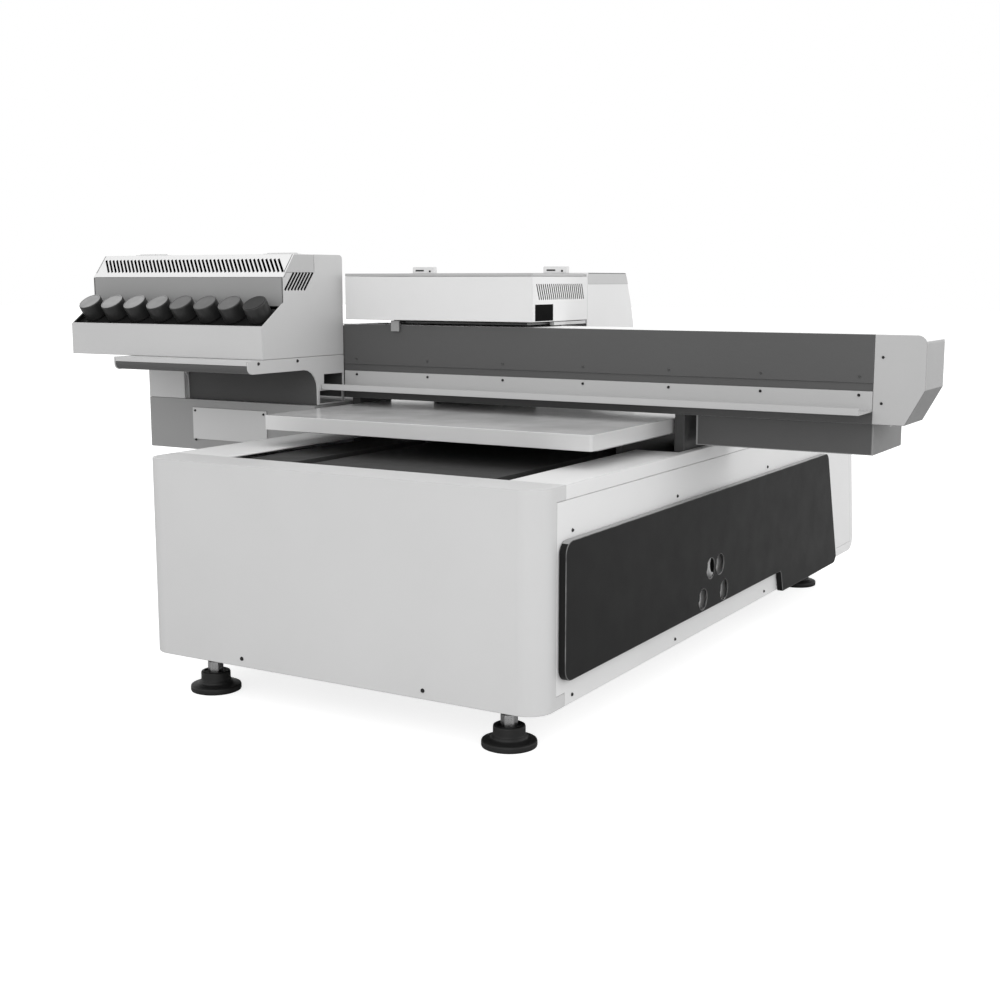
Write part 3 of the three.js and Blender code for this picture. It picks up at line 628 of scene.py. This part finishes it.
# %% Table, saddle and drive
panel("bed_table", TABLE_WHITE, radius=1.0, segments=3)
panel("bed_underplate", SILVER)
panel("bed_saddle", SLATE)
for node in ("y_rail_left", "y_rail_right"):
    panel(node, STEEL_ALONG, radius=0.5)
for node in ("y_slider_left", "y_slider_right"):
    panel(node, STEEL, radius=0.5)
panel("ball_screw", STEEL_ALONG, radius=0.5)
panel("y_motor", BLACK, radius=2.0, segments=3)
panel("base_frame", CHARCOAL, radius=1.5)

# %% [markdown]
# ## The gantry
# A hollow aluminium beam stands on two uprights. A dark folded cover wraps its upper front, and a pale
# channel below carries the carriage's cables, so the front shows three bands: dark cover, pale strip,
# channel. Small screws hold both at even steps.

# %% Beam, covers and uprights
SCREW_STEP, FIRST_SCREW = 167.8, -715.0
panel("beam", ALUMINIUM, 0.6, 2, (SLATE, lambda normal: normal.y < -0.9))
panel("beam_cover", SLATE, 0.7, 2, (BRIGHT, lambda normal: normal.z > 0.9))
panel("beam_channel", SILVER, radius=0.7)
panel("beam_end_plate", SILVER)
# The end cap is one sheet: its side and slanted underside are painted darker, painted shade, and its top near
# white, a painted highlight.
panel("beam_end_cap", SILVER, 1.0, 3, (SIDE_SHADE, lambda normal: normal.x > 0.6),
      (DUSK, lambda normal: normal.z < -0.3), (BRIGHT, lambda normal: normal.z > 0.4))
for node in ("upright_right", "upright_left"):
    panel(node, CHARCOAL)
screw_row = [FIRST_SCREW + i * SCREW_STEP for i in range(7)]
beam_front = (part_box("beam_cover")[0].y - corner.y) / MM
screws("channel_screws", [at(x, beam_front, 446.8) for x in screw_row], -Y_AXIS, radius=2.6)
cover_screws = [at(x, beam_front, 477) for x in screw_row]
screws("beam_cover_screws", cover_screws, -Y_AXIS, finish=SLATE, radius=2.2)
cap_screws = [at(329, beam_front, z) for z in (434.7, 509)]
screws("end_cap_screws", cap_screws, -Y_AXIS, radius=2.4)
print("beam screws:", len(screw_row) * 2)

# %% [markdown]
# ## Housings under the gantry
# Grey boxes close the gantry's ends. The right one has a dark front plate between its pale sheet edges.

# %% Housings
panel("housing_right", MID, 0.8, 2, (DUSK, lambda normal: normal.x > 0.9))
panel("housing_left", MID, radius=0.8)
panel("beam_end_housing", STATION, radius=0.8)
# The access plate is white sheet in the shade under the station, painted a paler grey: painted shade.
panel("access_plate", PALE, radius=0.5)
panel("capping_pad", RUBBER, radius=1.0, segments=3)
housing_low, housing_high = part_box("housing_right")
front_plate = bmesh.new()
plate_low = (housing_low - corner) / MM
plate_high = (housing_high - corner) / MM
block(front_plate, (plate_low.x + 4, plate_low.y - 1.6, plate_low.z + 1.5),
      (plate_high.x - 3, plate_low.y - 0.1, plate_high.z))
piece("housing_front_plate", soften(front_plate, 0.5), "base", SLATE)
plate_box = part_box("access_plate")
plate_front = (plate_box[0].y - corner.y) / MM
screws("access_screws", [at(x, plate_front, z) for x in (-1056, -875) for z in (306.5, 366.5)], -Y_AXIS,
       radius=2.6)
print("housing front plate:", round(plate_high.x - plate_low.x - 7), "mm wide")

# %% [markdown]
# ## The ink station
# The station is a folded box with a slanted mouth where the bottles' caps stand in a row. Its lid and its
# right side are louvred: rows of slanted slots that let warm air out. The slots are real cuts. Many thin
# slanted boxes are made in one mesh, and one boolean takes them all out of the sheet. The same boolean
# notches both sheets where the hinges' knuckles turn. The inside of the sheets and the walls of the cuts
# are painted black, a painted shade, so the slots read as dark lines.

# %% Tools that cut slots and notches
LID_SLOT = {
    "count": 46, "first": -1230.5, "last": -778.7, "lean": 25.5, "wide": 4.6, "deep": 8.0,
    "low": (364.4, 646.5), "high": (383.7, 671.1),
}
LID_NORMAL = (0, -43.0, 33.7)
SIDE_SLOT = {
    "count": 7, "step": 9.6, "wide": 4.8, "deep": 6.0, "low": (361.8, 612.5), "high": (389.6, 646.0),
}
HINGE = {"leaf": 14.0, "thick": 2.0, "pin": 4.0, "clear": 4.6}
HINGE_PLACES = {"left": (-1200, -1127), "right": (-861, -788)}
joints = {joint["name"]: joint for joint in frame["joints"]}
station_hinge = joints["station_lid_hinge"]["pos_m"]
hinge_y = (station_hinge[1] - corner.y) / MM
hinge_z = (station_hinge[2] - corner.z) / MM


def slot_tool(tools, low, high, through, wide, deep):
    """A thin box from `low` to `high`, `wide` across the slot, reaching `deep` along `through` each way."""
    along = high - low
    z = along.normalized()
    y = Vector(through).normalized()
    x = y.cross(z).normalized()
    y = z.cross(x)
    turn = Matrix((x, y, z)).transposed().to_4x4()
    size = Matrix.Diagonal((wide * MM, 2 * deep * MM, along.length, 1.0))
    bmesh.ops.create_cube(tools, size=1.0, matrix=Matrix.Translation((low + high) / 2) @ turn @ size)


def hinge_notches(tools):
    """Room for the hinges' knuckles in the sheets on both sides of the pin."""
    room = HINGE["clear"] - 0.1
    for x0, x1 in HINGE_PLACES.values():
        block(tools, (x0 - 0.5, hinge_y - room, hinge_z - room), (x1 + 0.5, hinge_y + room, hinge_z + room))


print("hinge pin at y", round(hinge_y), "z", round(hinge_z))

# %% The louvred lid
lid_slots = bmesh.new()
hinge_notches(lid_slots)
for i in range(LID_SLOT["count"]):
    x = LID_SLOT["first"] + (LID_SLOT["last"] - LID_SLOT["first"]) * i / (LID_SLOT["count"] - 1)
    low, high = at(x + LID_SLOT["lean"], *LID_SLOT["low"]), at(x, *LID_SLOT["high"])
    slot_tool(lid_slots, low, high, LID_NORMAL, LID_SLOT["wide"], LID_SLOT["deep"])
lid = pierce(soften(cad_copy("station_lid"), 0.8), lid_slots)
# The lid's side flaps, folds of the white sheet, are painted silver grey: painted shade.
paint_faces(lid, 1, lambda normal: abs(normal.x) > 0.95)
# The lid's inner faces and its slots' walls are painted black: painted shade.
paint_cuts(paint_inside(lid, 2), 2, LID_NORMAL)
piece("station_lid_finished", lid, "station_lid", [WHITE, SILVER, BLACK], ["station_lid"])
print("lid slots:", LID_SLOT["count"])

# %% The shell with its louvred side
side_slots = bmesh.new()
hinge_notches(side_slots)
station_right = (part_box("station_shell")[1].x - corner.x) / MM
for i in range(SIDE_SLOT["count"]):
    shift = i * SIDE_SLOT["step"]
    low = at(station_right, SIDE_SLOT["low"][0] + shift, SIDE_SLOT["low"][1])
    high = at(station_right, SIDE_SLOT["high"][0] + shift, SIDE_SLOT["high"][1])
    slot_tool(side_slots, low, high, X_AXIS, SIDE_SLOT["wide"], SIDE_SLOT["deep"])
shell = pierce(soften(cad_copy("station_shell"), 1.0, 3), side_slots)
# The shell's inner faces and its slots' walls are painted black: painted shade.
paint_cuts(paint_inside(shell, 1), 1, X_AXIS)
piece("station_shell_finished", shell, "base", [STATION, BLACK], ["station_shell"])
print("side slots:", SIDE_SLOT["count"])

# %% Arms, shelf, tray and inner panels
for node in ("station_arm_left", "station_arm_right", "station_shelf"):
    panel(node, STATION, radius=0.7)
panel("drip_tray", SLATE, radius=0.7)
panel("belly_panel", CHARCOAL, radius=0.7)
panel("recess_panel", MID, radius=0.7)
panel("bottle_rack", BLACK, radius=1.0)
ARM_SCREWS = ((281, 479.2), (394.4, 479.2))
screws("bracket_screws", [at(station_right, y, z) for y, z in ARM_SCREWS], X_AXIS, radius=3.2)
arm_left = (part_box("station_arm_left")[0].x - corner.x) / MM
screws("bracket_screws_left", [at(arm_left, y, z) for y, z in ARM_SCREWS], -X_AXIS, radius=3.2)
print("station arms at", round(arm_left), "and", round(station_right))

# %% [markdown]
# ## Bottle caps
# Each cap is spun from a profile with a rounded rim. Its wall is finely ribbed for grip: every second
# column of the wall's points is drawn in a little towards the cap's axis. The top disc is a separate
# material, with a grey of its own on each cap: light on the first four, darker on the next three and
# near black on the eighth.

# %% Eight screw caps
CAP_RADIUS, CAP_LENGTH, RIB = 23.5, 34.0, 0.35
CAP_STEPS = 96
CAP_WALL = (-31.0, -3.2)
CAP_PROFILE = (
    (0, -CAP_LENGTH), (21.5, -CAP_LENGTH), (22.9, -33.2), (CAP_RADIUS, CAP_WALL[0]), (CAP_RADIUS, -17),
    (CAP_RADIUS, CAP_WALL[1]), (23.2, -1.6), (22.2, -0.5), (20.8, 0), (20.0, 0), (19.6, -0.35), (0, -0.35),
)
for i, top in enumerate(CAP_TOPS, start=1):
    joint = joints[f"cap_{i}_turn"]
    shape = lathe(CAP_PROFILE, Vector(), steps=CAP_STEPS)
    for vert in shape.verts:
        column = round(math.atan2(vert.co.y, vert.co.x) / math.tau * CAP_STEPS)
        if column % 2 and CAP_WALL[0] - 0.1 < vert.co.z / MM < CAP_WALL[1] + 0.1:
            vert.co.xy *= 1 - RIB / CAP_RADIUS
    for face in shape.faces:
        if face.calc_center_median().z > -0.4 * MM and face.normal.z > 0.8:
            face.material_index = 1
    turn = Z_AXIS.rotation_difference(Vector(joint["axis"])).to_matrix().to_4x4()
    bmesh.ops.transform(shape, matrix=Matrix.Translation(joint["pos_m"]) @ turn, verts=shape.verts)
    piece(f"bottle_cap_{i}", shape, f"cap_{i}", [CAP_SIDE, top], [f"ink_cap_{i}"], fold=55)
pitch = joints["cap_2_turn"]["pos_m"][0] - joints["cap_1_turn"]["pos_m"][0]
print("caps:", len(CAP_TOPS), "pitch", round(pitch / MM))

# %% [markdown]
# ## Hinges on the lids
# The station's lid turns on two small butt hinges: a leaf on each side of a round knuckle, with two screws
# to a leaf. Their pins lie on the joint's own axis, so the leaves stay clear of each other as the lid
# opens. They are pale zinc, so they almost vanish against the paint.

# %% Hinges
ZINC = metal("zinc", 0.86, 0.35, (30, 1, 1))


def half_hinge(x0, x1, y, z, forward, knuckles):
    """One leaf from x0 to x1 beside the pin at y, z, with its share of the knuckles."""
    bm = bmesh.new()
    near, far, root, pin = HINGE["clear"], HINGE["leaf"], 1.0, HINGE["pin"]
    y0, y1 = (y - far, y - near) if forward else (y + near, y + far)
    root0, root1 = (y - near - 0.5, y - root) if forward else (y + root, y + near + 0.5)
    block(bm, (x0, y0, z), (x1, y1, z + HINGE["thick"]))
    soften(bm, 0.5)
    width = (x1 - x0) / 5
    for k in knuckles:
        start = x0 + k * width
        tongue = bmesh.new()
        block(tongue, (start + 0.4, root0, z + 0.2), (start + width - 0.4, root1, z + HINGE["thick"] - 0.2))
        join(bm, tongue)
        half = ((0, 0.3), (pin - 0.4, 0.3), (pin, 0.8))
        profile = half + tuple((radius, width - place) for radius, place in reversed(half))
        join(bm, lathe(profile, at(start, y, z), axis=X_AXIS, steps=24))
    middle, top = (y0 + y1) / 2, z + HINGE["thick"]
    heads = [screw_head(at(x, middle, top), Z_AXIS, 2.2, 1.0) for x in (x0 + width, x1 - width)]
    return join(bm, *heads)


def hinge(name, x0, x1, y, z, lid_body, fixed_body):
    """Both leaves of one hinge: the lid's has three knuckles, the fixed one has two."""
    piece(name + "_lid_leaf", half_hinge(x0, x1, y, z, True, (0, 2, 4)), lid_body, ZINC)
    piece(name + "_fixed_leaf", half_hinge(x0, x1, y, z, False, (1, 3)), fixed_body, ZINC)


for side, (x0, x1) in HINGE_PLACES.items():
    hinge(f"station_hinge_{side}", x0, x1, hinge_y, hinge_z, "station_lid", "base")
print("station hinges at y", round(hinge_y), "z", round(hinge_z))

# %% [markdown]
# ## The print carriage
# The carriage is two white covers: a box over the beam with a lid, and a taller rear cover with a
# curved back. The box's right side has a louvred vent above a small black window. Their cuts are real:
# the vent's slots and the window's opening are taken out with the same boolean as the station's. A dark
# filter pad stands behind the vent.

# %% The box with its vent and window
VENT = {"count": 23, "wide": 3.4, "deep": 6.0, "low": (557.0, 595.5), "high": (546.0, 624.3), "last": 724.7}
VENT_LEAN = 0.985  # the slots' lower ends are a little closer together than their upper ends
WINDOW = {"low": (540.5, 556.5), "high": (610.0, 587.0), "play": 0.3}
cover_right = (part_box("carriage_cover")[1].x - corner.x) / MM
vent_tools = bmesh.new()
for i in range(VENT["count"]):
    shift = (VENT["last"] - VENT["high"][0]) * i / (VENT["count"] - 1)
    low = at(cover_right, VENT["low"][0] + shift * VENT_LEAN, VENT["low"][1])
    high = at(cover_right, VENT["high"][0] + shift, VENT["high"][1])
    slot_tool(vent_tools, low, high, X_AXIS, VENT["wide"], VENT["deep"])
block(vent_tools, (cover_right - 6, *WINDOW["low"]), (cover_right + 6, *WINDOW["high"]))
cover = pierce(soften(cad_copy("carriage_cover"), 1.0, 3), vent_tools)
# The cover's inner faces and the walls of its vent and window cuts are painted charcoal: painted shade.
paint_cuts(paint_inside(cover, 1), 1, X_AXIS)
piece("carriage_cover_finished", cover, "carriage", [WHITE, CHARCOAL], ["carriage_cover"])

window = bmesh.new()
block(window, (cover_right - 2.8, *(v + WINDOW["play"] for v in WINDOW["low"])),
      (cover_right - 1.0, *(v - WINDOW["play"] for v in WINDOW["high"])))
piece("carriage_window", soften(window, 0.4), "carriage", GLOSS_BLACK)
filter_pad = bmesh.new()
block(filter_pad, (cover_right - 9, 541, 592), (cover_right - 5, 734, 628))
piece("vent_filter", soften(filter_pad, 1.0), "carriage", BLACK)
print("vent slots:", VENT["count"])

# %% [markdown]
# ## The rear cover's band
# The rear cover's top is a separate moulding: a grey band with a dark line along its rim. It starts as the
# part of the cover above the seam. A convex hull of that part drops the sheet's inner side and leaves a
# clean closed block, which then stands half a millimetre proud of the cover.

# %% The rear cover and its band
CAP_SEAM, CAP_PROUD, CAP_BACK, CAP_RIM = 622.0, 0.5, 1.5, 1.8
rear_cover = cad_copy("carriage_rear_cover")
soften(rear_cover, 0.9, 3, low=60)
piece("carriage_rear_cover_finished", rear_cover, "carriage", WHITE, ["carriage_rear_cover"])


def hull_above(bm, height):
    """Keeps only the convex hull of what lies above a height."""
    everything = bm.verts[:] + bm.edges[:] + bm.faces[:]
    bmesh.ops.bisect_plane(bm, geom=everything, plane_co=at(0, 0, height), plane_no=Z_AXIS, clear_inner=True)
    hull = bmesh.ops.convex_hull(bm, input=bm.verts)
    inside = [v for v in hull["geom_interior"] + hull["geom_unused"] if isinstance(v, bmesh.types.BMVert)]
    bmesh.ops.delete(bm, geom=list(dict.fromkeys(inside)), context="VERTS")
    outside = {face for face in hull["geom"] if isinstance(face, bmesh.types.BMFace)}
    bmesh.ops.delete(bm, geom=[face for face in bm.faces if face not in outside], context="FACES")
    bmesh.ops.dissolve_limit(bm, angle_limit=math.radians(0.5), verts=bm.verts, edges=bm.edges)
    return bm


rear_cap = hull_above(cad_copy("carriage_rear_cover"), CAP_SEAM)
rear_low, rear_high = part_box("carriage_rear_cover")
middle = Vector(((rear_low.x + rear_high.x) / 2, (rear_low.y + rear_high.y) / 2, rear_high.z))
wide = 1 + 2 * CAP_PROUD * MM / (rear_high.x - rear_low.x)
bmesh.ops.scale(rear_cap, vec=(wide, wide, 1.0), space=Matrix.Translation(-middle), verts=rear_cap.verts)
bmesh.ops.translate(rear_cap, vec=(0, CAP_BACK * MM, CAP_PROUD * MM), verts=rear_cap.verts)
soften(rear_cap, CAP_RIM, 3, low=60)
rim = rear_cap.faces.layers.float["edge"]
rear_cap.normal_update()
for face in rear_cap.faces:
    face.material_index = 1 if face[rim] > 0.5 and face.normal.y > -0.2 and face.normal.z > -0.2 else 0
piece("carriage_rear_cap", rear_cap, "carriage", [STATION, SLATE])
print("band stands on the cover at z", CAP_SEAM)

# %% Lid, plate, heads and small parts
panel("carriage_lid", SILVER, radius=0.9, segments=3)
panel("carriage_plate", CHARCOAL, 0.7, 2, (MID, lambda normal: normal.x > 0.9))
STRIP = {"front": 618, "rear": 748, "low": 547.5, "high": 554}
side_strip = bmesh.new()
block(side_strip, (cover_right - 12, STRIP["front"], STRIP["low"]),
      (cover_right - 2, STRIP["rear"], STRIP["high"]))
piece("carriage_side_strip", soften(side_strip, 0.8, 3), "carriage", PALE)
bracket = bmesh.new()
block(bracket, (-628, 534, 533), (-609, 538, 554))
piece("carriage_bracket", soften(bracket, 0.8, 3), "carriage", MID)
panel("head_block", SLATE, radius=0.6)
panel("uv_lamp", BLACK, radius=1.0)
panel("x_rail", STEEL, radius=0.6)
panel("power_inlet", BLACK, radius=0.7)
print("strip:", STRIP["rear"] - STRIP["front"], "mm long")

# %% Hinge blocks on the carriage lid
lid_joint = joints["carriage_lid_hinge"]["pos_m"]
lid_y = (lid_joint[1] - corner.y) / MM
lid_z = (lid_joint[2] - corner.z) / MM
KNOB = {"front": 16.0, "deep": 14.0, "high": 14.0, "proud": 0.6, "sunk": 0.1}


def lid_knob(name, x0, x1):
    """A raised hinge block on the lid, with a dark slit and a screw beside it."""
    bm = bmesh.new()
    front = lid_y - KNOB["front"]
    block(bm, (x0, front, lid_z), (x1, front + KNOB["deep"], lid_z + KNOB["high"]))
    piece(name, soften(bm, 2.0, 3), "carriage_lid", WHITE)
    slit = bmesh.new()
    block(slit, (x0 + 8, front - KNOB["proud"], lid_z + 5), (x1 - 24, front + KNOB["sunk"], lid_z + 8))
    piece(name + "_slit", soften(slit, 0.2), "carriage_lid", SCREW_BLACK)
    screws(name + "_screw", [at(x1 - 9, front, lid_z + 5.0)], -Y_AXIS, "carriage_lid", radius=2.2)


lid_knob("lid_knob_left", -701, -649)
lid_knob("lid_knob_right", -393, -342)
print("knobs on the lid:", 2)
